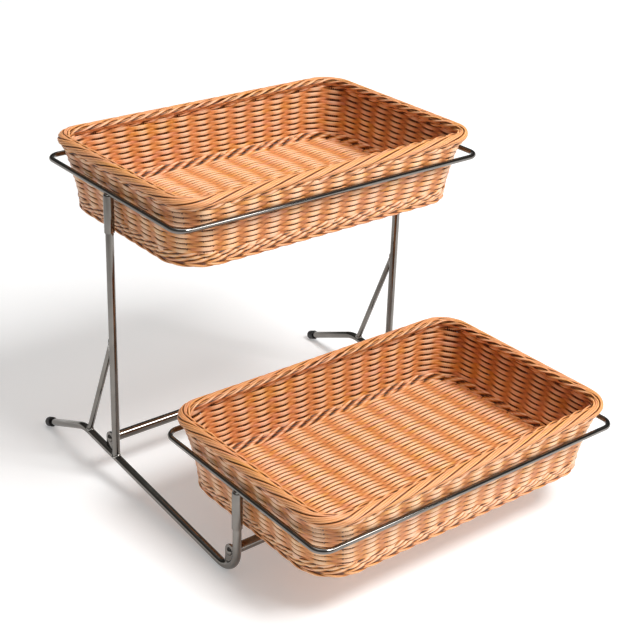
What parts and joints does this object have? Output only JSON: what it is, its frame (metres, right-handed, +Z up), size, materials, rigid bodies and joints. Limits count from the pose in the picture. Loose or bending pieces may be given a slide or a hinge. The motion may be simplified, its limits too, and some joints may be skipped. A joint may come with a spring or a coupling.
{
  "type": "two-tier countertop bread rack",
  "caption": "Stepped counter rack of bent chromed rod holding rectangular wicker baskets in slip-on rod rings, for showing bread.",
  "frame": {"origin": "on the counter, under the middle of the footprint", "axes": "+X to the right seen from the front, +Y to the back, where the taller tier stands, +Z up; the posts lean 2 degrees to the front"},
  "size_m": [0.463, 0.5938, 0.4284],
  "materials": {
    "chrome": "bright chrome plate on steel",
    "black_plastic": "satin black",
    "wicker": "honey-coloured woven cane"
  },
  "bodies": {
    "stand": {"left_side_rail": "chrome", "left_upright": "chrome", "left_brace": "chrome", "left_foot_cap": "black_plastic", "left_front_gusset": "chrome", "left_rear_gusset": "chrome", "left_front_bolt": "chrome", "left_rear_bolt": "chrome", "right_side_rail": "chrome", "right_upright": "chrome", "right_brace": "chrome", "right_foot_cap": "black_plastic", "right_front_gusset": "chrome", "right_rear_gusset": "chrome", "right_front_bolt": "chrome", "right_rear_bolt": "chrome", "front_crossbar": "chrome", "rear_crossbar": "chrome"},
    "upper_ring": {"upper_ring": "chrome", "upper_left_socket": "chrome", "upper_right_socket": "chrome"},
    "lower_ring": {"lower_ring": "chrome", "lower_left_socket": "chrome", "lower_right_socket": "chrome"},
    "upper_basket": {"upper_basket_wall": "wicker", "upper_basket_floor": "wicker", "upper_basket_rim": "wicker", "upper_basket_foot_border": "wicker"},
    "lower_basket": {"lower_basket_wall": "wicker", "lower_basket_floor": "wicker", "lower_basket_rim": "wicker", "lower_basket_foot_border": "wicker"}
  },
  "joints": [
    {"name": "upper_ring_lift", "type": "slide", "parent": "stand", "child": "upper_ring", "axis": [0, -0.0349, 0.9994], "range_m": [0, 0.05]},
    {"name": "lower_ring_lift", "type": "slide", "parent": "stand", "child": "lower_ring", "axis": [0, -0.0349, 0.9994], "range_m": [0, 0.05]},
    {"name": "upper_basket_lift", "type": "slide", "parent": "upper_ring", "child": "upper_basket", "axis": [0, -0.0349, 0.9994], "range_m": [0, 0.1]},
    {"name": "lower_basket_lift", "type": "slide", "parent": "lower_ring", "child": "lower_basket", "axis": [0, -0.0349, 0.9994], "range_m": [0, 0.1]}
  ]
}
